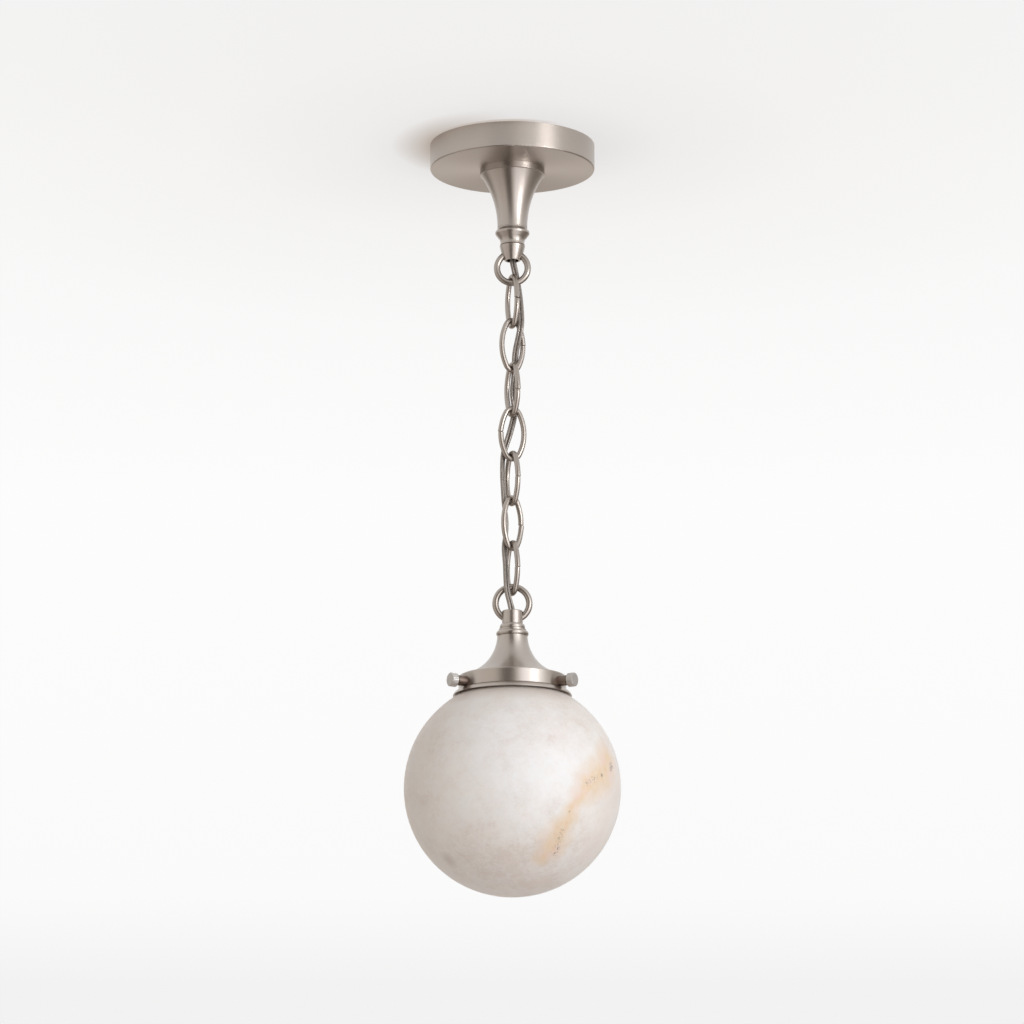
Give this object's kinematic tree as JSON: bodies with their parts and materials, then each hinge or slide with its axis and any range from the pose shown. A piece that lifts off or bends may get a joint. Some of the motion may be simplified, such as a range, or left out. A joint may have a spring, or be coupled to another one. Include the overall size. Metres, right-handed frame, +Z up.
{
  "type": "pendant light",
  "caption": "Pendant ceiling light: round alabaster globe held by screws in a flared metal gallery, on an oval link chain with a woven flat cord, under a shallow canopy with a trumpet stem",
  "frame": {"origin": "middle of the crossbar's two ceiling screws, on the ceiling plane", "axes": "+Z up into the ceiling, -Y towards the viewer of the picture, +X to the viewer's right along the crossbar"},
  "size_m": [0.163, 0.163, 0.585],
  "materials": {
    "nickel": "satin nickel plate",
    "dark_nickel": "dark bronzed plate",
    "zinc_steel": "bright zinc plate",
    "brass": "plain turned",
    "alabaster": "polished, translucent, clouded with a tan vein",
    "rubber": "matte",
    "soft_tip": "matte",
    "porcelain": "glazed",
    "clear_cord": "semi-clear insulation over silvery wire",
    "lead_insulation": "matte",
    "ground_insulation": "matte",
    "green_metal": "green dyed zinc plate",
    "connector_plastic": "matte",
    "glass": "frosted",
    "black_glass": "black glass"
  },
  "bodies": {
    "root": {"canopy": "nickel", "trumpet_stem": "nickel", "stem_bead": "nickel", "upper_loop_holder": "nickel", "crossbar": "zinc_steel", "canopy_nipple": "zinc_steel", "canopy_lock_nut": "zinc_steel", "canopy_lock_washer": "zinc_steel", "ground_screw": "green_metal", "ground_wire": "ground_insulation", "supply_leads": "lead_insulation", "wire_connectors": "connector_plastic", "canopy_cord": "clear_cord", "chain_cord": "clear_cord"},
    "upper_ring": {"upper_ring": "nickel"},
    "link_1": {"chain_link_1": "nickel"},
    "link_2": {"chain_link_2": "nickel"},
    "link_3": {"chain_link_3": "nickel"},
    "link_4": {"chain_link_4": "nickel"},
    "link_5": {"chain_link_5": "nickel"},
    "link_6": {"chain_link_6": "nickel"},
    "link_7": {"chain_link_7": "nickel"},
    "lower_ring": {"lower_ring": "nickel"},
    "lamp_head": {"alabaster_globe": "alabaster", "bell_cover": "nickel", "bulb_base": "brass", "bulb_contact": "brass", "bulb_glass": "glass", "bulb_insulator": "black_glass", "bulb_stem": "glass", "gallery": "nickel", "gallery_bosses": "dark_nickel", "gallery_lock_nut": "zinc_steel", "gallery_washer": "zinc_steel", "head_collar": "nickel", "head_cord": "clear_cord", "head_nipple": "zinc_steel", "lower_loop_holder": "nickel", "neck_gasket": "rubber", "socket_body": "porcelain", "socket_contact": "brass", "socket_leads": "lead_insulation", "socket_mount": "zinc_steel", "socket_mount_screws": "zinc_steel", "socket_shell": "brass", "terminal_screws": "brass"},
    "tip_1": {"screw_tip_1": "soft_tip"},
    "screw_1": {"thumb_screw_1": "nickel"},
    "tip_2": {"screw_tip_2": "soft_tip"},
    "screw_2": {"thumb_screw_2": "nickel"},
    "tip_3": {"screw_tip_3": "soft_tip"},
    "screw_3": {"thumb_screw_3": "nickel"}
  },
  "joints": [
    {"name": "upper_ring_swing", "type": "hinge", "parent": "root", "child": "upper_ring", "pos_m": [0, 0, -0.08875], "axis": [1, 0, 0], "range_deg": [-12, 12], "deforming": ["chain_cord"]},
    {"name": "link_1_swing", "type": "hinge", "parent": "upper_ring", "child": "link_1", "pos_m": [0, 0, -0.1099], "axis": [-0.9781, -0.2079, 0], "range_deg": [-20, 20], "deforming": ["chain_cord"]},
    {"name": "link_2_swing", "type": "hinge", "parent": "link_1", "child": "link_2", "pos_m": [0, 0, -0.14425], "axis": [-0.4226, 0.9063, 0], "range_deg": [-20, 20], "deforming": ["chain_cord"]},
    {"name": "link_3_swing", "type": "hinge", "parent": "link_2", "child": "link_3", "pos_m": [0, 0, -0.1792], "axis": [0.891, 0.454, 0], "range_deg": [-20, 20], "deforming": ["chain_cord"]},
    {"name": "link_4_swing", "type": "hinge", "parent": "link_3", "child": "link_4", "pos_m": [0, 0, -0.21415], "axis": [0.342, -0.9397, 0], "range_deg": [-20, 20], "deforming": ["chain_cord"]},
    {"name": "link_5_swing", "type": "hinge", "parent": "link_4", "child": "link_5", "pos_m": [0, 0, -0.2491], "axis": [-0.9397, -0.342, 0], "range_deg": [-20, 20], "deforming": ["chain_cord"]},
    {"name": "link_6_swing", "type": "hinge", "parent": "link_5", "child": "link_6", "pos_m": [0, 0, -0.28405], "axis": [-0.5807, 0.8141, 0], "range_deg": [-20, 20], "deforming": ["chain_cord"]},
    {"name": "link_7_swing", "type": "hinge", "parent": "link_6", "child": "link_7", "pos_m": [0, 0, -0.319], "axis": [0.8241, 0.5664, 0], "range_deg": [-20, 20], "deforming": ["chain_cord"]},
    {"name": "lower_ring_swing", "type": "hinge", "parent": "link_7", "child": "lower_ring", "pos_m": [0, 0, -0.35395], "axis": [0.225, -0.9744, 0], "range_deg": [-20, 20], "deforming": ["chain_cord"]},
    {"name": "lamp_head_swing", "type": "hinge", "parent": "lower_ring", "child": "lamp_head", "pos_m": [0, 0, -0.37219], "axis": [-1, 0, 0], "range_deg": [-12, 12], "deforming": ["chain_cord"]},
    {"name": "tip_1_travel", "type": "slide", "parent": "lamp_head", "child": "tip_1", "axis": [0.866, -0.5, 0], "range_m": [0, 0.004]},
    {"name": "screw_1_turn", "type": "hinge", "parent": "tip_1", "child": "screw_1", "pos_m": [0, 0, -0.4254], "axis": [0.866, -0.5, 0], "range_deg": [0, 1815]},
    {"name": "tip_2_travel", "type": "slide", "parent": "lamp_head", "child": "tip_2", "axis": [0, 1, 0], "range_m": [0, 0.004]},
    {"name": "screw_2_turn", "type": "hinge", "parent": "tip_2", "child": "screw_2", "pos_m": [0, 0, -0.4254], "axis": [0, 1, 0], "range_deg": [0, 1815]},
    {"name": "tip_3_travel", "type": "slide", "parent": "lamp_head", "child": "tip_3", "axis": [-0.866, -0.5, 0], "range_m": [0, 0.004]},
    {"name": "screw_3_turn", "type": "hinge", "parent": "tip_3", "child": "screw_3", "pos_m": [0, 0, -0.4254], "axis": [-0.866, -0.5, 0], "range_deg": [0, 1815]}
  ],
  "couplings": [
    {"joint": "screw_1_turn", "follows": "tip_1_travel", "rad_per_m": 7915.8},
    {"joint": "screw_2_turn", "follows": "tip_2_travel", "rad_per_m": 7915.8},
    {"joint": "screw_3_turn", "follows": "tip_3_travel", "rad_per_m": 7915.8}
  ]
}
